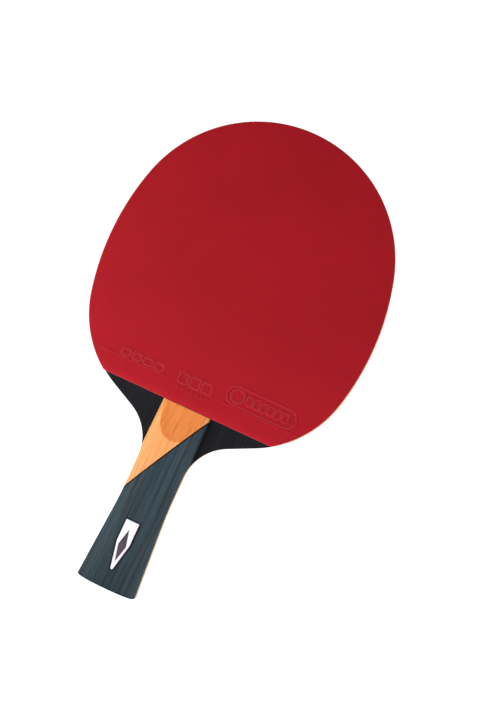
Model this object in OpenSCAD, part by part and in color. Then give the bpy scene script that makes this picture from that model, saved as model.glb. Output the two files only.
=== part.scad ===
// Table tennis paddle: a five-ply blade with a dyed face, a sponge rubber on each side and a
// flared two-piece handle whose scales are split by a diagonal inlay.
// X runs across the head, Z runs from the butt of the handle to the tip of the head, and the
// front rubber looks along -Y. The origin is the centre of the butt, halfway through the blade.

/* [Overall] */
// Length from the butt of the handle to the tip of the head
overall_l = 258; // [254:0.5:266]
// Width of the head at its widest
head_w = 150; // [144:1:156]
// Length of the handle, from the butt to the straight edge of the rubbers
handle_l = 101.2; // [98:0.1:105]

/* [Head outline] */
// Angle that the round crown of the head turns through on each side
crown_turn = 74; // [68:1:76]
// Radius of the long flank on each side of the head
flank_r = 138; // [120:1:155]
// Angle that each flank turns through
flank_turn = 29.5; // [26:0.5:36]
// Radius of the corner between a flank and a wing
corner_r = 57.5; // [52:0.5:62]
// Slope of the wings beside the neck, from level
wing_slope = 26; // [22:0.5:28]
// Radius of the fillet between a wing and the neck
neck_r = 25.5; // [18:0.5:30]

/* [Blade veneers] */
// Thickness of the centre veneer
core_t = 3; // [2:0.1:4]
// Thickness of each inner veneer
inner_t = 0.9; // [0.5:0.1:1.5]
// Thickness of each outer veneer
outer_t = 0.6; // [0.4:0.1:1]

/* [Rubbers] */
// Thickness of the glue film under each sponge
glue_t = 0.1; // [0.05:0.05:0.2]
// Thickness of each sponge
sponge_t = 2; // [1.5:0.1:2.2]
// Thickness of each top sheet with its pimples
top_sheet_t = 1.8; // [1.4:0.1:2]
// Gap between the rubbers and the end of the handle scales
rubber_gap = 0.2; // [0.1:0.1:0.5]

/* [Handle] */
// Width of the handle at its waist
waist_w = 26.3; // [25:0.1:27]
// Width of the handle at its butt
butt_w = 32.9; // [31:0.1:35]
// Width of the scales where they part from the neck's fillets
collar_w = 27.8; // [27.2:0.1:29]
// Width of the scales where they meet the rubbers
mouth_w = 26.7; // [25:0.1:28]
// Thickness of the handle at its waist, blade included
waist_t = 22; // [20:0.5:24]
// Thickness of the handle at its butt, blade included
butt_t = 23.6; // [22:0.2:25]
// Height above the butt where the handle starts to flare
flare_z = 54; // [48:0.5:62]
// Radius of the curve that leads into the flare
flare_r = 200; // [150:10:400]
// Squareness of the scales' cross-section: 2 is an ellipse, and more is boxier
squareness = 2.2; // [2:0.1:3.2]
// Radius of the rounded edge around the butt
butt_edge_r = 0.9; // [0.8:0.1:2]

/* [Scoop at the top of the scales] */
// Radius of the hollow
scoop_r = 130; // [90:5:200]
// Length of the hollow along the handle
scoop_l = 18.5; // [15:0.1:24]
// Height of the scales above the blade where they meet the rubbers
scoop_lip = 4.2; // [3.6:0.1:5]

/* [Diagonal inlay] */
// Height of the inlay where it leaves the long edge of the wedge, at the waist
stripe_low_z = 49.6; // [46:0.1:56]
// Height of the inlay where it reaches the opposite edge, near the rubbers
stripe_high_z = 98.6; // [95:0.1:100]
// Thickness of the inlay
stripe_t = 0.8; // [0.5:0.1:1.5]

/* [Badge] */
// Width of the badge
badge_w = 8.8; // [7:0.2:10]
// Length of the badge
badge_l = 28.2; // [24:0.2:32]
// Length of the badge's upright shoulders, from its level top
badge_shoulder_l = 13; // [4:0.5:16]
// Radius of the badge's round tip
badge_tip_r = 1.5; // [1.3:0.1:2.5]
// Height of the badge's centre above the butt
badge_z = 23.8; // [20:0.2:26]
// Thickness of the badge
badge_t = 0.8; // [0.6:0.1:1]
// How far the badge stands proud of the handle
badge_proud = 0.1; // [0:0.1:0.3]
// Width of the rim around the badge's inlay
badge_rim = 0.8; // [0.6:0.1:1.2]
// Width of the lozenge in the middle of the inlay
lozenge_w = 4.4; // [2:0.1:4.6]
// Length of the lozenge
lozenge_l = 18; // [8:1:20]

/* [Hidden] */

// Longest chord of a curved edge, and how far cutting shapes run past what they cut
chord = 2.2;
past = 60;

// Distance from the middle of the blade to the outside of each layer, towards either face
core_y = core_t / 2;
inner_y = core_y + inner_t;
blade_y = inner_y + outer_t;
glue_y = blade_y + glue_t;
sponge_y = glue_y + sponge_t;
rubber_z = handle_l + rubber_gap;

waist = waist_w / 2;
flare_out = (butt_w - waist_w) / 2;
scale_h = waist_t / 2 - blade_y;
butt_h = butt_t / 2 - blade_y;

// The crown's radius is what makes crown and flank together come to half the head's width.
crown_r = (head_w / 2 - flank_r * (1 - sin(crown_turn))) / sin(crown_turn);

// The flare is the straight line from the butt that meets the flare's curve smoothly.
flare_turn = asin(flare_r / norm([flare_r - flare_out, flare_z]))
    - atan2(flare_r - flare_out, flare_z);
flare_end_z = flare_z - flare_r * sin(flare_turn);

// ---- Outlines, in the plane of the blade ----

// An arc from p that heads at angle a and turns clockwise by turn degrees, or anticlockwise where
// radius and turn are both negative. The start point is left out.
function arc_centre(p, a, radius) = p + radius * [sin(a), -cos(a)];
function arc(p, a, radius, turn) =
    let (c = arc_centre(p, a, radius), n = ceil(abs(radius * turn) * PI / 180 / chord))
    [for (i = [1:n]) c - radius * [sin(a - turn * i / n), -cos(a - turn * i / n)]];
function last(points) = points[len(points) - 1];
function mirrored(points) = [for (i = [len(points) - 1:-1:0]) [-points[i].x, points[i].y]];

wing_turn = 180 - wing_slope;
tip = [0, overall_l];
crown = arc(tip, 0, crown_r, crown_turn);
flank = arc(last(crown), -crown_turn, flank_r, flank_turn);
corner_turn = wing_turn - crown_turn - flank_turn;
corner = arc(last(flank), -crown_turn - flank_turn, corner_r, corner_turn);

// The wing runs straight until the fillet that ends upright on the neck.
wing_l = (last(corner).x - waist - neck_r * (1 - sin(wing_slope))) / cos(wing_slope);
wing_end = last(corner) - wing_l * [cos(wing_slope), sin(wing_slope)];
neck = arc(wing_end, -wing_turn, -neck_r, wing_slope - 90);
flare = arc([waist, flare_z], -90, -flare_r, -flare_turn);

// The butt's rounded edge, from its outermost height down to the butt
edge_n = 5;
function edge_z(i) = butt_edge_r * (1 - cos(90 * i / edge_n));
function edge_inset(z) =
    z < butt_edge_r ? butt_edge_r - sqrt(butt_edge_r ^ 2 - (butt_edge_r - z) ^ 2) : 0;
function flare_x(z) = butt_w / 2 - z * tan(flare_turn);
butt_edge = [for (i = [edge_n:-1:0]) [flare_x(edge_z(i)) - edge_inset(edge_z(i)), edge_z(i)]];

blade_half = concat([tip], crown, flank, corner, [wing_end], neck, [[waist, flare_z]], flare,
    butt_edge);

module blade_outline() {
    polygon(concat(blade_half, mirrored(blade_half)));
}

module rubber_outline() {
    intersection() {
        blade_outline();
        translate([-head_w, rubber_z]) square([2 * head_w, overall_l]);
    }
}

// ---- Layers ----

// A flat layer between two distances from the middle of the blade, towards the front
module layer(inside, outside) {
    translate([0, -inside, 0]) rotate([90, 0, 0]) linear_extrude(outside - inside) children();
}

module to_back() {
    rotate([0, 0, 180]) children();
}

module core_veneer() {
    color("burlywood") layer(-core_y, core_y) blade_outline();
}

module inner_veneer() {
    color("wheat") layer(core_y, inner_y) blade_outline();
}

module outer_veneer() {
    color([0.10, 0.10, 0.11]) layer(inner_y, blade_y) blade_outline();
}

module glue_film() {
    color("ivory") layer(blade_y, glue_y) rubber_outline();
}

module sponge() {
    color("blanchedalmond") layer(glue_y, sponge_y) rubber_outline();
}

module top_sheet(sheet_color) {
    color(sheet_color) layer(sponge_y, sponge_y + top_sheet_t) rubber_outline();
}

// ---- Handle scales ----

// The scales follow the neck's fillet up to their widest, then narrow towards the rubbers.
neck_z = last(neck).y;
collar_z = neck_z + sqrt(neck_r ^ 2 - (neck_r + waist - collar_w / 2) ^ 2);

// Half the width of a scale at height z
function half_width(z) =
    z > collar_z ? (collar_w + (mouth_w - collar_w) * (z - collar_z) / (handle_l - collar_z)) / 2
    : z > neck_z ? waist + neck_r - sqrt(neck_r ^ 2 - (z - neck_z) ^ 2)
    : z > flare_z ? waist
    : z > flare_end_z ? waist + flare_r - sqrt(flare_r ^ 2 - (flare_z - z) ^ 2)
    : flare_x(z);

// Height of a scale above the blade at height z: it grows with the flare
function crest(z) =
    scale_h + (z < flare_z ? (butt_h - scale_h) * (half_width(z) - waist) / flare_out : 0);

// One cross-section, from the right edge over the crest to the left edge
arch_n = 30;
function arch(z) =
    let (w = half_width(z) - edge_inset(z), h = crest(z) - edge_inset(z), e = 2 / squareness)
    [for (i = [0:arch_n])
        let (a = 180 * i / arch_n, c = cos(a), s = abs(sin(a)))
        [w * sign(c) * abs(c) ^ e, -blade_y - h * s ^ e, z]];

// Heights of the cross-sections: close together round the butt's edge, then evenly spaced
section_n = 34;
stations = concat(
    [for (i = [0:edge_n - 1]) edge_z(i)],
    [for (i = [0:section_n])
        butt_edge_r + (handle_l - butt_edge_r) * i / section_n]);

module scale_blank() {
    ring = arch_n + 1;
    top = (len(stations) - 1) * ring;
    skin = [for (k = [0:len(stations) - 2], i = [0:arch_n])
        let (a = k * ring + i, b = k * ring + (i + 1) % ring)
        each [[a, b, a + ring], [b, b + ring, a + ring]]];
    caps = [for (i = [1:arch_n - 1]) each [[0, i + 1, i], [top, top + i, top + i + 1]]];
    polyhedron(points = [for (z = stations) each arch(z)], faces = concat(skin, caps), convexity = 4);
}

// The hollow's axis, as [height up the handle, height above the blade]: it lies on the bisector
// of the chord from the foot of the hollow to its lip.
scoop_foot = [handle_l - scoop_l, scale_h];
scoop_end = [handle_l, scoop_lip];
scoop_chord = scoop_end - scoop_foot;
scoop_axis = (scoop_foot + scoop_end) / 2
    + sqrt(scoop_r ^ 2 - (norm(scoop_chord) / 2) ^ 2)
    * [-scoop_chord.y, scoop_chord.x] / norm(scoop_chord);

module scale_shape() {
    difference() {
        scale_blank();
        translate([-past, -blade_y - scoop_axis.y, scoop_axis.x])
            rotate([0, 90, 0]) cylinder(r = scoop_r, h = 2 * past, $fn = 360);
    }
}

// A block on the inlay's line, from a to b across it: positive is towards the rubbers.
stripe_low = [-half_width(stripe_low_z), stripe_low_z];
stripe_high = [half_width(stripe_high_z), stripe_high_z];
stripe_angle = atan2(stripe_high.y - stripe_low.y, stripe_high.x - stripe_low.x);
module beside_stripe(a, b) {
    translate([stripe_low.x, -past / 2, stripe_low.y]) rotate([0, -stripe_angle, 0])
        translate([-2 * past, 0, a]) cube([4 * past, past, b - a]);
}

module handle_wedge() {
    color("sandybrown") intersection() {
        scale_shape();
        beside_stripe(stripe_t / 2, 2 * past);
    }
}

module handle_stripe() {
    color("black") intersection() {
        scale_shape();
        beside_stripe(-stripe_t / 2, stripe_t / 2);
    }
}

module handle_body() {
    color([0.20, 0.28, 0.32]) intersection() {
        scale_shape();
        beside_stripe(-3 * past, -stripe_t / 2);
    }
}

// ---- Badge ----

badge_tilt = atan2(crest(badge_z - badge_l / 2) - crest(badge_z + badge_l / 2), badge_l);

// Puts a flat shape drawn in the badge's own plane on the handle, from below to above its face
module on_badge(below, above) {
    translate([0, -blade_y - crest(badge_z) - badge_proud, badge_z]) rotate([90 - badge_tilt, 0, 0])
        translate([0, 0, -below]) linear_extrude(below + above) children();
}

// Half a shield with a level top, upright shoulders and a taper to a round tip, drawn in from the
// badge's edge. Its shoulder and tip stay parallel to the edge however far in it is drawn.
shoulder = [badge_w / 2, badge_l / 2 - badge_shoulder_l];
tip_centre = [0, badge_tip_r - badge_l / 2];
to_shoulder = shoulder - tip_centre;
taper_angle = acos(badge_tip_r / norm(to_shoulder)) - atan2(to_shoulder.y, to_shoulder.x);
tip_n = 8;
function half_badge(inset) = concat(
    [[shoulder.x - inset, badge_l / 2 - inset]],
    [[shoulder.x - inset, shoulder.y + inset * tan(taper_angle / 2)]],
    [for (i = [0:tip_n - 1])
        let (a = -taper_angle - (90 - taper_angle) * i / tip_n)
        tip_centre + (badge_tip_r - inset) * [cos(a), sin(a)]],
    [tip_centre - [0, badge_tip_r - inset]]);

module badge_outline(inset) {
    half = half_badge(inset);
    polygon(concat(half, mirrored([for (i = [0:len(half) - 2]) half[i]])));
}

module lozenge_outline() {
    polygon([[0, lozenge_l / 2], [lozenge_w / 2, 0], [0, -lozenge_l / 2], [-lozenge_w / 2, 0]]);
}

inlay_t = badge_t / 2;

module badge_plate() {
    color([0.09, 0.09, 0.13]) difference() {
        on_badge(badge_t, 0) badge_outline(0);
        on_badge(inlay_t, 1) badge_outline(badge_rim);
    }
}

module badge_inlay() {
    color("white") difference() {
        on_badge(inlay_t, 0) badge_outline(badge_rim);
        on_badge(badge_t, 1) lozenge_outline();
    }
}

module badge_lozenge() {
    color([0.32, 0.29, 0.32]) on_badge(inlay_t, 0) lozenge_outline();
}

// ---- Parts ----

core_veneer();
inner_veneer();  // front_inner_veneer
to_back() inner_veneer();  // back_inner_veneer
outer_veneer();  // front_outer_veneer
to_back() outer_veneer();  // back_outer_veneer
glue_film();  // front_glue_film
to_back() glue_film();  // back_glue_film
sponge();  // front_sponge
to_back() sponge();  // back_sponge
top_sheet("crimson");  // front_top_sheet
to_back() top_sheet([0.08, 0.08, 0.08]);  // back_top_sheet
difference() {  // front_handle_body
    handle_body();
    on_badge(badge_t, 2) badge_outline(0);
}
handle_stripe();  // front_handle_stripe
handle_wedge();  // front_handle_wedge
to_back() handle_body();  // back_handle_body
to_back() handle_stripe();  // back_handle_stripe
to_back() handle_wedge();  // back_handle_wedge
badge_plate();
badge_inlay();
badge_lozenge();
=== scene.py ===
"""Looks for a table tennis paddle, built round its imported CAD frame.

X runs across the head, Z from the handle's butt to the tip, and the red rubber looks along -Y.
Lengths are in metres. Every place is worked out from the frame's nodes.
"""

import math

import bmesh
import bpy
import numpy as np
from mathutils import Matrix, Vector

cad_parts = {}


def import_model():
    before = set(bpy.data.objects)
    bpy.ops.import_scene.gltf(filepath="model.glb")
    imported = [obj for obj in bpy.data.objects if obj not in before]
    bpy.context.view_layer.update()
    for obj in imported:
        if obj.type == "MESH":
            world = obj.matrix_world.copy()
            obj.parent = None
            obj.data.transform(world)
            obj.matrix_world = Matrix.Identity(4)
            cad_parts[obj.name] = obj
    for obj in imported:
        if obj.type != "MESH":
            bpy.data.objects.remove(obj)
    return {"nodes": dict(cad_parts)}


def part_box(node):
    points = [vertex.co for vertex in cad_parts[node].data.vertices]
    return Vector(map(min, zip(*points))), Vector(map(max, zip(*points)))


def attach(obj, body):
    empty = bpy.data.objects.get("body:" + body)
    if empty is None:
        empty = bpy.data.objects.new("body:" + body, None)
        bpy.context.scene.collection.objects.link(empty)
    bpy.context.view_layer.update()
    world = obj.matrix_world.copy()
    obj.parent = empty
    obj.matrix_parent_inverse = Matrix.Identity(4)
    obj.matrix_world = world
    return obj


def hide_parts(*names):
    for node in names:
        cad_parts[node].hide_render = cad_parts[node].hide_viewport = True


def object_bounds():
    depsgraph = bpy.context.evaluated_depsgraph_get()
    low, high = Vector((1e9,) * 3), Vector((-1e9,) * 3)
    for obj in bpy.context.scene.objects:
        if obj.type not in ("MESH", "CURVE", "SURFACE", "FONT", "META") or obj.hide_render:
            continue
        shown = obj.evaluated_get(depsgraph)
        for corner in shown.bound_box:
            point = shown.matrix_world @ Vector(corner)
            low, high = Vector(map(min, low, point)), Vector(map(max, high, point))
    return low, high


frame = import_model()
cad_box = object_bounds()
nodes = frame["nodes"]

MM = 0.001
HALF_TURN = Matrix.Rotation(math.pi, 4, "Z")

# ---- The view, the light, and the sizes of details that the CAD leaves to the looks ----

# The photo's view: degrees to the right of square on, above level, and leaning to the right. The
# camera looks at a share of the paddle's height, shifted right and up, and the long side of the
# picture spans VIEW_FIELD there.
VIEW_AZIMUTH = 7.5
VIEW_ELEVATION = -1.0
VIEW_LEAN = 24.68
VIEW_DISTANCE = 0.75
VIEW_HEIGHT = 0.531
VIEW_SHIFT = (12.07 * MM, -7.25 * MM)
VIEW_FIELD = 0.3753
SENSOR = 36.0

# How brightly the world and the floor light the paddle, and how bright the camera sees them.
AMBIENT = 0.17
WORLD_SEEN = 1.1
FLOOR_GLOW = 0.2
FLOOR_SEEN = 1.0
FLOOR_SEEN_NEAR = 0.3
FLOOR_RADIUS = 4.0

# Nearly all of a noise texture's values lie between these two.
NOISE_LOW, NOISE_HIGH = 0.3, 0.7

# Pimples stand in rows. Each widens towards the skin and narrows a little towards the sponge.
PIMPLE_PITCH = 2.2 * MM
PIMPLE_R = 0.85 * MM
PIMPLE_FOOT = 1.15
PIMPLE_HEAD = 0.96
PIMPLE_FILLET = 0.15 * MM
PIMPLE_SIDES = 10
PIMPLE_ROWS = 4
ROW_GAP = PIMPLE_PITCH * math.sqrt(3) / 2
# The skin's share of the top sheet's thickness.
SKIN_SHARE = 0.5
# How far above the rubber's straight edge a painted highlight reaches, strongly and then faintly.
HIGHLIGHT_REACH = 4 * MM
FAINT_HIGHLIGHT_REACH = 50 * MM

# Rounded rims: the support ring lies RIM_SUPPORT radii inside, and a rim that another piece
# covers is rounded by COVERED_SHARE of the radius.
RIM_STEPS = 4
RIM_SUPPORT = 3
SKIN_FRONT_R = 0.35 * MM
SKIN_BACK_R = 0.04 * MM
SPONGE_FRONT_R = 0.08 * MM
SPONGE_BACK_R = 0.05 * MM
PLY_FRONT_R = 0.32 * MM
PLY_BACK_R = 0.01 * MM
COVERED_SHARE = 0.12

# Edges of the kept CAD nodes.
SHARP = math.radians(32)
BEVEL_STEPS = 2

# Moulded marks, with heights above the rubber's straight edge.
MARK_HEIGHT = 0.4 * MM
MARK_LINE = 0.8 * MM
MARK_BOLD = 1.15 * MM
MARK_SLOPE = 0.06 * MM
MARK_ROOT = 0.05 * MM
DOT = 0.8 * MM
RULE_Z = 10.4 * MM
UNDER_RULE_Z = RULE_Z - 2.2 * MM
CORNER_STEPS = 7
# A corner radius this share of a side rounds the whole end and leaves no two points in one place.
ROUND_END = 0.499

# How far pieces of one moulding reach into each other, and how near two points are one.
OVERLAP = 0.02 * MM
SAME_POINT = 0.001 * MM
WELD = 0.002 * MM


# ---- Outlines ----


def outline_of(name):
    """The closed outline of a flat layer, as (x, z) points."""
    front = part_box(name)[0].y
    layer = bmesh.new()
    layer.from_mesh(nodes[name].data)
    bmesh.ops.remove_doubles(layer, verts=layer.verts, dist=SAME_POINT)
    rim = {}
    for edge in layer.edges:
        on_front = all(abs(v.co.y - front) < SAME_POINT for v in edge.verts)
        if on_front and any(abs(f.normal.y) < 0.5 for f in edge.link_faces):
            a, b = edge.verts
            rim.setdefault(a.index, []).append(b.index)
            rim.setdefault(b.index, []).append(a.index)
    layer.verts.ensure_lookup_table()
    walk = [min(rim)]
    walk.append(rim[walk[0]][0])
    while walk[-1] != walk[0]:
        here, before = walk[-1], walk[-2]
        walk.append(next(n for n in rim[here] if n != before))
    points = [(layer.verts[i].co.x, layer.verts[i].co.z) for i in walk[:-1]]
    layer.free()
    turning = sum(a[0] * b[1] - b[0] * a[1] for a, b in zip(points, points[1:] + points[:1]))
    return points if turning > 0 else points[::-1]


def inset(outline, distance):
    """The outline drawn in by a distance, which is a number or a function of the point."""
    drawn = []
    for i, here in enumerate(outline):
        before, after = outline[i - 1], outline[(i + 1) % len(outline)]
        u = (Vector(here) - Vector(before)).normalized()
        v = (Vector(after) - Vector(here)).normalized()
        inward = Vector((-u.y - v.y, u.x + v.x)) / (1 + u.dot(v))
        d = distance(here) if callable(distance) else distance
        drawn.append((here[0] + d * inward.x, here[1] + d * inward.y))
    return drawn


class Rim:
    """An outline that tells how far points lie inside it."""

    def __init__(self, outline):
        self.start = np.array(outline)
        self.way = np.roll(self.start, -1, axis=0) - self.start
        self.length = (self.way**2).sum(axis=1)

    def nearest(self, point):
        """How far inside the outline a point is, and the outline's nearest point to it."""
        across = np.array(point) - self.start
        share = np.clip((across * self.way).sum(axis=1) / self.length, 0, 1)
        gap = across - share[:, None] * self.way
        i = (gap**2).sum(axis=1).argmin()
        inside = self.way[i][0] * across[i][1] - self.way[i][1] * across[i][0]
        return math.copysign(math.hypot(*gap[i]), inside), Vector(np.array(point) - gap[i])


# ---- Meshes ----


def loft(mesh, rings):
    """Adds a closed skin through rings of points to a bmesh, with a flat cap at each end."""
    rows = [[mesh.verts.new(p) for p in ring] for ring in rings]
    for low, high in zip(rows, rows[1:]):
        for i in range(len(low)):
            j = (i + 1) % len(low)
            mesh.faces.new((low[i], low[j], high[j], high[i]))
    mesh.faces.new(rows[0][::-1])
    mesh.faces.new(rows[-1])


def piece(name, mesh, material, behind, replaces=()):
    """Turns a bmesh into a piece of the paddle, on its back face if behind is true."""
    if behind:
        mesh.transform(HALF_TURN)
    bmesh.ops.recalc_face_normals(mesh, faces=mesh.faces)
    data = bpy.data.meshes.new(name)
    mesh.to_mesh(data)
    mesh.free()
    data.shade_smooth()
    data.materials.append(material)
    made = bpy.data.objects.new(name, data)
    bpy.context.scene.collection.objects.link(made)
    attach(made, "root")
    if replaces:
        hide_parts(*replaces)


def everywhere(point):
    """The full rounding of a rim, at every point of it."""
    return 1.0


def slab_rings(outline, front, back, front_r, back_r, share=everywhere):
    """Rings for a flat slab with rounded rims. A support ring inside each rim keeps its face flat.

    The rounding at a point of the rim is the radius times share of that point.
    """
    turns = [math.pi / 2 * i / RIM_STEPS for i in range(RIM_STEPS + 1)]
    profile = [(front_r * RIM_SUPPORT, front)]
    for a in turns:
        profile.append((front_r * (1 - math.sin(a)), front + front_r * (1 - math.cos(a))))
    for a in reversed(turns):
        profile.append((back_r * (1 - math.sin(a)), back - back_r * (1 - math.cos(a))))
    profile.append((back_r * RIM_SUPPORT, back))
    shares = {point: share(point) for point in outline}
    rings = []
    for d, y in profile:
        drawn = inset(outline, lambda point, d=d: d * shares[point])
        rings.append([(x, y, z) for x, z in drawn])
    return rings


# ---- Places worked out from the frame ----

sheet_outline = outline_of("front_top_sheet")
sheet_low, sheet_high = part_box("front_top_sheet")
skin_back = sheet_low.y + (sheet_high.y - sheet_low.y) * SKIN_SHARE
rubber_edge = sheet_low.z


# ---- Materials ----


def linear(r, g, b):
    """A colour given as 0 to 255 screen values, as Cycles wants it."""

    def channel(screen):
        share = screen / 255
        return share / 12.92 if share <= 0.04045 else ((share + 0.055) / 1.055) ** 2.4

    return (channel(r), channel(g), channel(b), 1.0)


def feed(tree, socket, value):
    """Links an output to a socket, or sets a plain value."""
    if isinstance(value, bpy.types.NodeSocket):
        tree.links.new(value, socket)
    else:
        socket.default_value = value


class Shader:
    """A material's node tree, with short calls for what the materials here are made of."""

    def __init__(self, name):
        self.material = bpy.data.materials.new(name)
        self.material.use_nodes = True
        self.tree = self.material.node_tree
        self.surface = self.tree.nodes["Principled BSDF"]
        self.place = self.add("TexCoord").outputs["Object"]

    def add(self, kind, inputs=None, **settings):
        """A new node, with its inputs fed and its settings made."""
        node = self.tree.nodes.new("ShaderNode" + kind)
        for key, value in settings.items():
            setattr(node, key, value)
        for key, value in (inputs or {}).items():
            feed(self.tree, node.inputs[key], value)
        return node

    def math(self, operation, a, b=0.0):
        return self.add("Math", {0: a, 1: b}, operation=operation).outputs[0]

    def noise(self, size, detail=3.0, roughness=0.5):
        """Noise whose features are about size long on X, Y and Z."""
        scale = tuple(1 / s for s in size)
        place = self.add("Mapping", {"Vector": self.place, "Scale": scale}).outputs[0]
        inputs = {
            "Vector": place,
            "Scale": 1.0,
            "Detail": detail,
            "Roughness": roughness,
        }
        return self.add("TexNoise", inputs).outputs["Fac"]

    def cells(self, size):
        """How far a point is from the middle of its cell, for cells about size across."""
        inputs = {"Vector": self.place, "Scale": 1 / size}
        return self.add("TexVoronoi", inputs, feature="F1").outputs["Distance"]

    def height(self):
        """How high a point is above the butt."""
        return self.add("SeparateXYZ", {0: self.place}).outputs["Z"]

    def facing(self, axis, kind="Normal"):
        """How squarely a surface faces along an axis, either way, from 0 to 1."""
        normal = self.add("NewGeometry").outputs[kind]
        part = self.add("SeparateXYZ", {0: normal}).outputs[axis]
        return self.math("ABSOLUTE", part)

    def ramp(self, value, *stops):
        """A colour ramp through (position, colour) stops."""
        node = self.add("ValToRGB", {0: value})
        elements = node.color_ramp.elements
        for i, (position, colour) in enumerate(stops):
            stop = elements[i] if i < 2 else elements.new(position)
            stop.position = position
            stop.color = colour
        return node.outputs[0]

    def span(self, value, low, high, out_low=0.0, out_high=1.0):
        """A value moved from one range to another, clamped."""
        inputs = {0: value, 1: low, 2: high, 3: out_low, 4: out_high}
        return self.add("MapRange", inputs).outputs[0]

    def vary(self, noise, low=0.0, high=1.0):
        """Noise spread over a range."""
        return self.span(noise, NOISE_LOW, NOISE_HIGH, low, high)

    def mix(self, factor, a, b, blend="MIX"):
        node = self.add("Mix", {0: factor, 6: a, 7: b}, data_type="RGBA", blend_type=blend)
        return node.outputs[2]

    def shade(self, tone, factor):
        """A colour darkened or lightened by a factor."""
        grey = self.add("CombineColor", {0: factor, 1: factor, 2: factor}).outputs[0]
        return self.mix(1.0, tone, grey, "MULTIPLY")

    def bump(self, height, depth, before=None):
        """Bumps depth metres high, laid over an earlier bump's normal."""
        inputs = {"Height": height, "Distance": depth, "Strength": 1.0}
        if before is not None:
            inputs["Normal"] = before
        return self.add("Bump", inputs).outputs[0]

    def finish(self, **inputs):
        """Sets the surface's inputs, named with underscores for spaces, and gives the material."""
        for key, value in inputs.items():
            feed(self.tree, self.surface.inputs[key.replace("_", " ")], value)
        return self.material


def lattice(s):
    """Waves from -1.5 to 3 with a crest over each pimple."""
    crests = 0.0
    for across, along in (
        (1.0, 1 / math.sqrt(3)),
        (1.0, -1 / math.sqrt(3)),
        (0.0, 2 / math.sqrt(3)),
    ):
        wave = tuple(2 * math.pi / PIMPLE_PITCH * k for k in (across, 0.0, along))
        dot = s.add("VectorMath", {0: s.place, 1: wave}, operation="DOT_PRODUCT")
        crests = s.math("ADD", crests, s.math("COSINE", dot.outputs["Value"]))
    return crests


def rubber(name, colour, deep, painted_highlight, rim_highlight, roughness):
    """Smooth table tennis rubber: a fine matt skin over pimples that barely show through it.

    Towards the handle it is painted brighter, a painted highlight, and its rims and the sides of
    its marks and pimples are painted paler, another painted highlight.
    """
    s = Shader(name)
    grain = s.noise((0.25 * MM,) * 3, detail=4, roughness=0.65)
    mottle = s.noise((1.3 * MM,) * 3, detail=2)
    cloud = s.noise((28 * MM,) * 3, detail=2)
    smudge = s.noise((7 * MM, 7 * MM, 9 * MM), detail=4, roughness=0.6)
    tone = s.mix(s.vary(cloud), colour, deep)
    speck = s.span(grain, 0.3, 0.75, 0.93, 1.06)
    tone = s.shade(tone, s.math("MULTIPLY", speck, s.vary(mottle, 0.97, 1.03)))
    # Painted highlight: brighter the nearer the handle, strongly within the first reach and faintly
    # within the second.
    near = s.span(s.height(), rubber_edge, rubber_edge + HIGHLIGHT_REACH, 0.45, 0.0)
    far = s.span(s.height(), rubber_edge, rubber_edge + FAINT_HIGHLIGHT_REACH, 0.32, 0.0)
    wear_and_highlight = s.math("MULTIPLY", s.math("ADD", near, far), s.vary(smudge, 0.8, 1.0))
    tone = s.mix(wear_and_highlight, tone, painted_highlight)
    # Painted highlight: faces turned away from the rubber's face, such as its rims and the sides of
    # the marks, are painted paler.
    tone = s.mix(s.span(s.facing("Y"), 0.97, 0.75), tone, rim_highlight)
    sheen = s.vary(smudge, roughness - 0.03, roughness + 0.03)
    sheen = s.math("ADD", sheen, s.vary(grain, -0.03, 0.03))
    relief = s.bump(lattice(s), 0.0022 * MM)
    relief = s.bump(grain, 0.010 * MM, relief)
    return s.finish(Base_Color=tone, Roughness=sheen, Normal=relief, Specular_IOR_Level=0.12)


def wood(name, tones, roughness=0.42, shine=0.2, pores=0.5, along="Z", depth=3.0, scoop_shade=None):
    """Wood with its grain along one axis: tones are the dark, middle, light and odd streaks.

    The streaks are depth times as thick through the wood as they are wide. Faces that tilt towards
    the tip or the butt, as in the handle's scoop, are darkened by a painted shade.
    """
    s = Shader(name)
    dark, middle, light, odd = tones

    def streaks(width, length, **settings):
        if along == "X":
            return s.noise((length, depth * width, width), **settings)
        return s.noise((width, depth * width, length), **settings)

    band = streaks(2.6 * MM, 140 * MM, detail=3, roughness=0.55)
    streak = streaks(0.55 * MM, 40 * MM, detail=4, roughness=0.65)
    fibre = streaks(0.16 * MM, 9 * MM, detail=3, roughness=0.6)
    pore = streaks(0.24 * MM, 3.5 * MM, detail=2, roughness=0.5)
    stray = streaks(1.1 * MM, 60 * MM, detail=2)
    blend = s.math("ADD", s.math("MULTIPLY", band, 0.4), s.math("MULTIPLY", streak, 0.6))
    tone = s.ramp(blend, (0.36, dark), (0.64, light), (0.5, middle))
    tone = s.mix(s.span(stray, 0.56, 0.72, 0.0, 0.55), tone, odd)
    tone = s.shade(tone, s.vary(fibre, 0.86, 1.1))
    pit = s.span(pore, 0.66, 0.74)
    tone = s.mix(s.math("MULTIPLY", pit, pores), tone, dark)
    # Painted shade: faces that tilt along the handle, as in its scoop, are darkened.
    if scoop_shade:
        rising = s.span(s.facing("Z", "True Normal"), 0.10, 0.12)
        broad = s.span(s.facing("Y", "True Normal"), 0.75, 0.85)
        scooped = s.math("MULTIPLY", rising, broad)
        tone = s.mix(scooped, tone, s.mix(1.0, tone, scoop_shade, "MULTIPLY"))
    sheen = s.vary(fibre, roughness - 0.05, roughness + 0.06)
    sheen = s.math("ADD", sheen, s.math("MULTIPLY", pit, 0.15))
    relief = s.bump(fibre, 0.012 * MM)
    relief = s.bump(s.math("SUBTRACT", 1.0, pit), 0.03 * MM, relief)
    return s.finish(Base_Color=tone, Roughness=sheen, Normal=relief, Specular_IOR_Level=shine)


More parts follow.
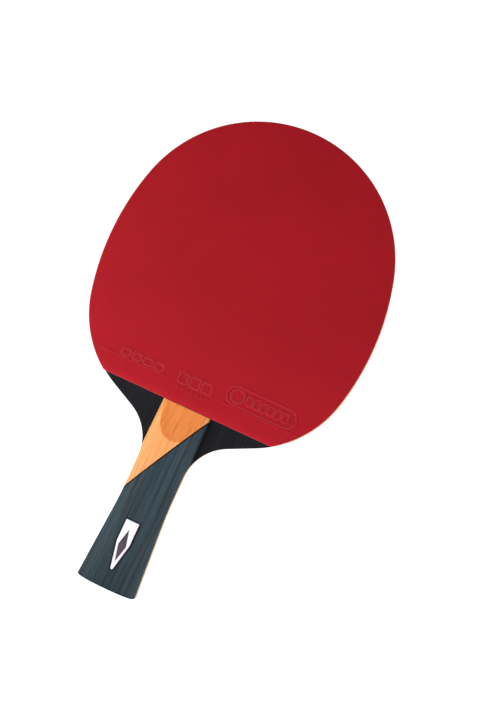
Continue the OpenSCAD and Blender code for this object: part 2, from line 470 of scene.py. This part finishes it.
def foam(name, colour, pore_shade):
    """Sponge with open pores of two sizes, painted darker inside as a painted shade."""
    s = Shader(name)
    small = s.span(s.cells(0.42 * MM), 0.12, 0.38)
    large = s.span(s.cells(1.1 * MM), 0.10, 0.26)
    solid = s.math("MULTIPLY", small, large)
    cloud = s.noise((3 * MM,) * 3, detail=3)
    # Painted shade: the pores are painted darker than the solid foam around them.
    tone = s.shade(s.mix(solid, pore_shade, colour), s.vary(cloud, 0.93, 1.05))
    relief = s.bump(solid, 0.10 * MM)
    return s.finish(Base_Color=tone, Roughness=0.85, Normal=relief, Specular_IOR_Level=0.25)


def film(name, colour, cloudy):
    """A thin film of dried glue, uneven and slightly cloudy."""
    s = Shader(name)
    cloud = s.noise((1.5 * MM,) * 3, detail=4)
    tone = s.mix(s.vary(cloud), colour, cloudy)
    relief = s.bump(cloud, 0.02 * MM)
    return s.finish(Base_Color=tone, Roughness=s.vary(cloud, 0.25, 0.5), Normal=relief)


def print_plastic(name, colour, wear_and_highlight, roughness, coat):
    """Glossy badge plastic with faint brushing and worn patches, under a clear coat."""
    s = Shader(name)
    brush = s.noise((0.09 * MM, 0.09 * MM, 5 * MM), detail=3)
    cloud = s.noise((1.8 * MM,) * 3, detail=4, roughness=0.6)
    tone = s.mix(s.span(cloud, 0.35, 0.75), colour, wear_and_highlight)
    sheen = s.vary(cloud, roughness - 0.05, roughness + 0.08)
    sheen = s.math("ADD", sheen, s.vary(brush, -0.03, 0.04))
    relief = s.bump(brush, 0.004 * MM)
    return s.finish(
        Base_Color=tone,
        Roughness=sheen,
        Normal=relief,
        Specular_IOR_Level=0.2,
        Coat_Weight=coat,
        Coat_Roughness=0.12,
    )


# Each rubber gets two painted highlight colours: a brighter one towards the handle and a paler one
# on its rims.
red_rubber = rubber(
    "red_rubber",
    colour=linear(163, 17, 29),
    deep=linear(157, 16, 27),
    painted_highlight=linear(190, 28, 45),
    rim_highlight=linear(202, 72, 80),
    roughness=0.7,
)
black_rubber = rubber(
    "black_rubber",
    colour=linear(25, 25, 27),
    deep=linear(21, 21, 23),
    painted_highlight=linear(34, 34, 36),
    rim_highlight=linear(56, 56, 58),
    roughness=0.65,
)
sponge_foam = foam("sponge_foam", colour=linear(240, 206, 176), pore_shade=linear(196, 150, 118))
dry_glue = film("dry_glue", colour=linear(222, 212, 186), cloudy=linear(236, 230, 212))
core_wood = wood(
    "core_wood",
    (linear(206, 172, 130), linear(236, 210, 174), linear(248, 230, 202), linear(216, 182, 140)),
    roughness=0.55,
    depth=1.0,
)
inner_wood = wood(
    "inner_wood",
    (linear(216, 178, 134), linear(240, 208, 166), linear(250, 224, 188), linear(224, 188, 142)),
    roughness=0.55,
    along="X",
)
black_wood = wood(
    "black_wood",
    (linear(16, 17, 21), linear(24, 25, 30), linear(29, 30, 35), linear(27, 26, 28)),
    roughness=0.55,
    shine=0.1,
    pores=0.6,
)
# The teal and orange woods of the handle get a painted shade on the faces of the scoop.
teal_wood = wood(
    "teal_wood",
    (linear(22, 36, 42), linear(48, 64, 72), linear(58, 77, 86), linear(64, 60, 56)),
    roughness=0.5,
    pores=0.7,
    shine=0.14,
    scoop_shade=(0.8, 0.8, 0.8, 1.0),
)
orange_wood = wood(
    "orange_wood",
    (linear(222, 134, 72), linear(244, 165, 96), linear(250, 182, 114), linear(236, 152, 86)),
    roughness=0.45,
    pores=0.6,
    scoop_shade=(0.9, 0.66, 0.5, 1.0),
)
badge_dark = print_plastic(
    "badge_dark",
    colour=linear(12, 9, 30),
    wear_and_highlight=linear(22, 18, 44),
    roughness=0.4,
    coat=0.05,
)
badge_pale = print_plastic(
    "badge_pale",
    colour=linear(254, 250, 255),
    wear_and_highlight=linear(244, 236, 248),
    roughness=0.3,
    coat=0.4,
)
badge_grey = print_plastic(
    "badge_grey",
    colour=linear(74, 64, 76),
    wear_and_highlight=linear(92, 82, 94),
    roughness=0.35,
    coat=0.1,
)


# ---- Rubbers ----


def skin_mesh():
    """The smooth skin that meets the ball."""
    mesh = bmesh.new()
    loft(mesh, slab_rings(sheet_outline, sheet_low.y, skin_back, SKIN_FRONT_R, SKIN_BACK_R))
    return mesh


def pimple(mesh, centre, rim, reach):
    """A pimple from skin to sponge. One that reaches over the rim is cut off by it."""
    rings = []
    for y, r in (
        (skin_back - OVERLAP, PIMPLE_R * PIMPLE_FOOT),
        (skin_back + PIMPLE_FILLET, PIMPLE_R),
        (sheet_high.y + OVERLAP, PIMPLE_R * PIMPLE_HEAD),
    ):
        ring = []
        for k in range(PIMPLE_SIDES):
            a = 2 * math.pi * (k + 0.5) / PIMPLE_SIDES
            x, z = centre[0] + r * math.cos(a), centre[1] + r * math.sin(a)
            if reach < 1.3 * PIMPLE_R:
                gap, edge = rim.nearest((x, z))
                if gap < OVERLAP:
                    x, z = edge + (Vector(centre) - edge).normalized() * OVERLAP
            ring.append((x, y, z))
        rings.append(ring)
    loft(mesh, rings)


def pimple_mesh():
    """The rows of pimples near the edge, between skin and sponge."""
    mesh = bmesh.new()
    rim = Rim(sheet_outline)
    columns = int(sheet_high.x / PIMPLE_PITCH) + 1
    for j in range(int(sheet_low.z / ROW_GAP), int(sheet_high.z / ROW_GAP) + 1):
        for i in range(-columns, columns + 1):
            centre = (PIMPLE_PITCH * (i + j % 2 / 2), ROW_GAP * j)
            reach, _ = rim.nearest(centre)
            if 0.3 * PIMPLE_R < reach < PIMPLE_ROWS * ROW_GAP:
                pimple(mesh, centre, rim, reach)
    return mesh


def bed_mesh():
    """The field behind those rows, as one solid sheet."""
    mesh = bmesh.new()
    drawn = inset(sheet_outline, (PIMPLE_ROWS - 0.4) * ROW_GAP)
    faces = (skin_back - OVERLAP, sheet_high.y + OVERLAP)
    loft(mesh, [[(x, y, z) for x, z in drawn] for y in faces])
    return mesh


def sponge_mesh():
    """The sponge, with crisp cut edges."""
    mesh = bmesh.new()
    low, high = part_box("front_sponge")
    loft(mesh, slab_rings(sheet_outline, low.y, high.y, SPONGE_FRONT_R, SPONGE_BACK_R))
    return mesh


# ---- Moulded marks above the rubber's straight edge ----

mark_base = sheet_low.y + MARK_ROOT
mark_top = sheet_low.y - MARK_HEIGHT
mark_shoulder = mark_top + MARK_SLOPE


def rounded(width, height, r):
    """An oblong with corner radius r about (0, 0), as (x, z) points."""
    points = []
    for quarter in range(4):
        cx = (width / 2 - r) * (1 if quarter in (0, 3) else -1)
        cz = (height / 2 - r) * (1 if quarter in (0, 1) else -1)
        for k in range(CORNER_STEPS):
            a = math.pi / 2 * (quarter + k / (CORNER_STEPS - 1))
            points.append((cx + r * math.cos(a), cz + r * math.sin(a)))
    return points


def bar(mesh, x, z, width, height):
    """A raised bar with round ends, its centre z above the rubber's edge."""
    outline = rounded(width, height, ROUND_END * min(width, height))
    rings = []
    for drawn_in, y in (
        (0.0, mark_base),
        (0.0, mark_shoulder),
        (0.05 * MM, mark_top),
        (0.1 * MM, mark_top),
    ):
        drawn = inset(outline, drawn_in)
        rings.append([(x + dx, y, rubber_edge + z + dz) for dx, dz in drawn])
    loft(mesh, rings)


def hoop(mesh, x, z, width, height, r, line):
    """A raised line round a rounded oblong, its centre z above the rubber's edge."""
    outline = rounded(width, height, r)
    section = (
        (-0.5, mark_base),
        (-0.5, mark_shoulder),
        (-0.25, mark_top),
        (0.25, mark_top),
        (0.5, mark_shoulder),
        (0.5, mark_base),
    )
    rings = []
    for share, y in section:
        drawn = inset(outline, share * line)
        rings.append([mesh.verts.new((x + dx, y, rubber_edge + z + dz)) for dx, dz in drawn])
    for low, high in zip(rings, rings[1:] + rings[:1]):
        for i in range(len(low)):
            j = (i + 1) % len(low)
            mesh.faces.new((low[i], low[j], high[j], high[i]))


def hoops(mesh, count, first, pitch, z, width, height, r, line):
    """A row of hoops, the first of them at x = first."""
    for i in range(count):
        hoop(mesh, first + pitch * i, z, width, height, r, line)


def marks_mesh():
    """Plain rules, blocks, hoops and dots, where a rubber carries its moulded approval marks."""
    mesh = bmesh.new()
    half = sheet_high.x
    for middle, length in ((-0.475 * half, 0.51 * half), (0.485 * half, 0.61 * half)):
        bar(mesh, middle, RULE_Z, length, MARK_LINE)
    for x in (-0.51 * half, 0.477 * half):
        bar(mesh, x, UNDER_RULE_Z, DOT, DOT)
    # Four hollow blocks over the left rule.
    hoops(
        mesh,
        count=4,
        first=-40.6 * MM,
        pitch=6.3 * MM,
        z=RULE_Z + 3.05 * MM,
        width=4.6 * MM,
        height=3.6 * MM,
        r=1.1 * MM,
        line=MARK_BOLD,
    )
    # Three taller blocks in the middle, and a row of short strokes under them.
    hoops(
        mesh,
        count=3,
        first=-7.6 * MM,
        pitch=6.6 * MM,
        z=RULE_Z + 3.0 * MM,
        width=5.0 * MM,
        height=5.2 * MM,
        r=0.8 * MM,
        line=MARK_BOLD,
    )
    for i in range(7):
        bar(mesh, (-9.0 + 2.7 * i) * MM, UNDER_RULE_Z, width=1.5 * MM, height=2.0 * MM)
    # A long frame over the right rule, with a ring and six hollow blocks in it.
    x, z = 35.2 * MM, RULE_Z + 6.1 * MM
    width, height, ring = 38.6 * MM, 9.8 * MM, 7.0 * MM
    hoop(mesh, x, z, width, height, ROUND_END * height, MARK_LINE)
    hoop(mesh, x - 13.2 * MM, z, ring, ring, 3.49 * MM, MARK_BOLD)
    hoops(
        mesh,
        count=6,
        first=x - 6.6 * MM,
        pitch=4.0 * MM,
        z=z,
        width=3.0 * MM,
        height=4.6 * MM,
        r=0.8 * MM,
        line=MARK_LINE,
    )
    return mesh


for side, behind, skin, slot in (
    ("front", False, red_rubber, "red_rubber"),
    ("back", True, black_rubber, "black_rubber"),
):
    piece(side + "_rubber_skin", skin_mesh(), skin, behind, [side + "_top_sheet"])
    piece(side + "_pimples", pimple_mesh(), skin, behind)
    piece(side + "_pimple_bed", bed_mesh(), skin, behind)
    piece(side + "_moulded_marks", marks_mesh(), skin, behind)
    piece(side + "_sponge_slab", sponge_mesh(), sponge_foam, behind, [side + "_sponge"])


# ---- Blade ----

blade_outline = outline_of("front_outer_veneer")
veneer_low, veneer_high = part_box("front_outer_veneer")
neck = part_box("front_handle_wedge")[1].x


def bare(point):
    """1 where a veneer's edge is bare and sanded round, less where a scale or rubber lies on it."""
    x, z = point
    on_wing = abs(x) > neck * 1.1 and z < rubber_edge - 0.3 * MM
    return 1.0 if on_wing else COVERED_SHARE


def ply_mesh():
    """An outer veneer whose edge is sanded round on the wings beside the handle."""
    mesh = bmesh.new()
    rings = slab_rings(blade_outline, veneer_low.y, veneer_high.y, PLY_FRONT_R, PLY_BACK_R, bare)
    loft(mesh, rings)
    return mesh


for side, behind in (("front", False), ("back", True)):
    veneer = side + "_outer_veneer"
    piece(side + "_black_ply", ply_mesh(), black_wood, behind, [veneer])


# ---- CAD nodes that stay ----


def keep(name, material, edge):
    """Keeps a CAD node with a new material, smooth facets and its sharp edges rounded by edge."""
    kept = nodes[name]
    kept.data.materials.clear()
    kept.data.materials.append(material)
    kept.data.shade_smooth()
    weld = kept.modifiers.new("weld", "WELD")
    weld.merge_threshold = WELD
    bevel = kept.modifiers.new("edges", "BEVEL")
    bevel.width = edge
    bevel.segments = BEVEL_STEPS
    bevel.limit_method = "ANGLE"
    bevel.angle_limit = SHARP
    even = kept.modifiers.new("normals", "WEIGHTED_NORMAL")
    even.weight = 100


keep("core_veneer", core_wood, 0.05 * MM)
for side in ("front", "back"):
    keep(side + "_inner_veneer", inner_wood, 0.04 * MM)
    keep(side + "_glue_film", dry_glue, 0.01 * MM)
    keep(side + "_handle_body", teal_wood, 0.15 * MM)
    keep(side + "_handle_stripe", black_wood, 0.05 * MM)
    keep(side + "_handle_wedge", orange_wood, 0.15 * MM)
keep("badge_plate", badge_dark, 0.06 * MM)
keep("badge_inlay", badge_pale, 0.04 * MM)
keep("badge_lozenge", badge_grey, 0.03 * MM)


# ---- Studio ----


def seen_only(tree, seen, unseen):
    """Gives seen to rays straight from the camera, and unseen to light that bounces."""
    straight = tree.nodes.new("ShaderNodeLightPath").outputs["Is Camera Ray"]
    pick = tree.nodes.new("ShaderNodeMix")
    tree.links.new(straight, pick.inputs[0])
    feed(tree, pick.inputs[2], unseen)
    feed(tree, pick.inputs[3], seen)
    return pick.outputs[0]


def world():
    """White behind everything, and a dimmer white as the light from all round."""
    made = bpy.data.worlds.new("studio")
    bpy.context.scene.world = made
    made.use_nodes = True
    back = made.node_tree.nodes["Background"]
    back.inputs["Color"].default_value = (1, 1, 1, 1)
    strength = seen_only(made.node_tree, WORLD_SEEN, AMBIENT)
    feed(made.node_tree, back.inputs["Strength"], strength)


def floor():
    """Pale paper under the butt.

    It looks white far off and at a low angle. From above it shows a faint shadow near the butt.
    """
    mesh = bmesh.new()
    bmesh.ops.create_circle(mesh, cap_ends=True, segments=96, radius=FLOOR_RADIUS)
    data = bpy.data.meshes.new("floor")
    mesh.to_mesh(data)
    mesh.free()
    s = Shader("floor_paper")
    fibre = s.noise((2 * MM,) * 3, detail=3)
    tone = s.mix(s.vary(fibre), (0.84, 0.84, 0.84, 1), (0.88, 0.88, 0.88, 1))
    away = s.add("VectorMath", {0: s.place}, operation="LENGTH").outputs["Value"]
    grazing = s.add("LayerWeight", {"Blend": 0.5}).outputs["Facing"]
    bright = s.math("MAXIMUM", s.span(away, 0.08, 0.35), s.span(grazing, 0.6, 0.75))
    seen = s.span(bright, 0.0, 1.0, FLOOR_SEEN_NEAR, FLOOR_SEEN)
    glow = seen_only(s.tree, seen, FLOOR_GLOW)
    white = (1, 1, 1, 1)
    paper = s.finish(Base_Color=tone, Roughness=0.9, Emission_Color=white, Emission_Strength=glow)
    data.materials.append(paper)
    made = bpy.data.objects.new("floor", data)
    bpy.context.scene.collection.objects.link(made)
    made.location.z = cad_box[0].z - 0.02 * MM


def lamp(name, azimuth, elevation, distance, size, power):
    """A soft square light that looks at the middle of the paddle."""
    middle = (cad_box[0] + cad_box[1]) / 2
    a, e = math.radians(azimuth), math.radians(elevation)
    way = Vector((math.sin(a) * math.cos(e), -math.cos(a) * math.cos(e), math.sin(e)))
    data = bpy.data.lights.new(name, "AREA")
    data.shape = "SQUARE"
    data.size = size
    data.energy = power
    made = bpy.data.objects.new(name, data)
    made.location = middle + way * distance
    made.rotation_mode = "QUATERNION"
    made.rotation_quaternion = way.to_track_quat("Z", "Y")
    bpy.context.scene.collection.objects.link(made)


world()
floor()
lamp("key", azimuth=-48, elevation=-9, distance=0.42, size=0.2, power=1.36)
lamp("fill", azimuth=40, elevation=-9, distance=0.4, size=0.12, power=0.37)
lamp("side", azimuth=88, elevation=15, distance=0.9, size=0.4, power=3.0)
lamp("back_key", azimuth=150, elevation=35, distance=1.2, size=0.9, power=10.0)
lamp("back_fill", azimuth=-140, elevation=20, distance=1.3, size=0.9, power=6.0)


def camera():
    """The camera, leaning so that the upright paddle points up and to the right."""
    middle = Vector((0.0, 0.0, cad_box[1].z * VIEW_HEIGHT))
    a, e = math.radians(VIEW_AZIMUTH), math.radians(VIEW_ELEVATION)
    back = Vector((math.sin(a) * math.cos(e), -math.cos(a) * math.cos(e), math.sin(e)))
    lean = Matrix.Rotation(math.radians(VIEW_LEAN), 3, back)
    right = lean @ Vector((math.cos(a), math.sin(a), 0.0))
    up = back.cross(right)
    place = middle + back * VIEW_DISTANCE
    aim = middle + right * VIEW_SHIFT[0] + up * VIEW_SHIFT[1]
    toward = (place - aim).normalized()
    across = up.cross(toward).normalized()
    data = bpy.data.cameras.new("camera")
    data.sensor_width = SENSOR
    data.lens = SENSOR * VIEW_DISTANCE / VIEW_FIELD
    data.clip_start, data.clip_end = 0.01, 20
    made = bpy.data.objects.new("camera", data)
    made.location = place
    made.rotation_mode = "QUATERNION"
    axes = Matrix((across, toward.cross(across), toward)).transposed()
    made.rotation_quaternion = axes.to_quaternion()
    bpy.context.scene.collection.objects.link(made)
    bpy.context.scene.camera = made


camera()
bpy.context.scene.view_settings.view_transform = "Standard"
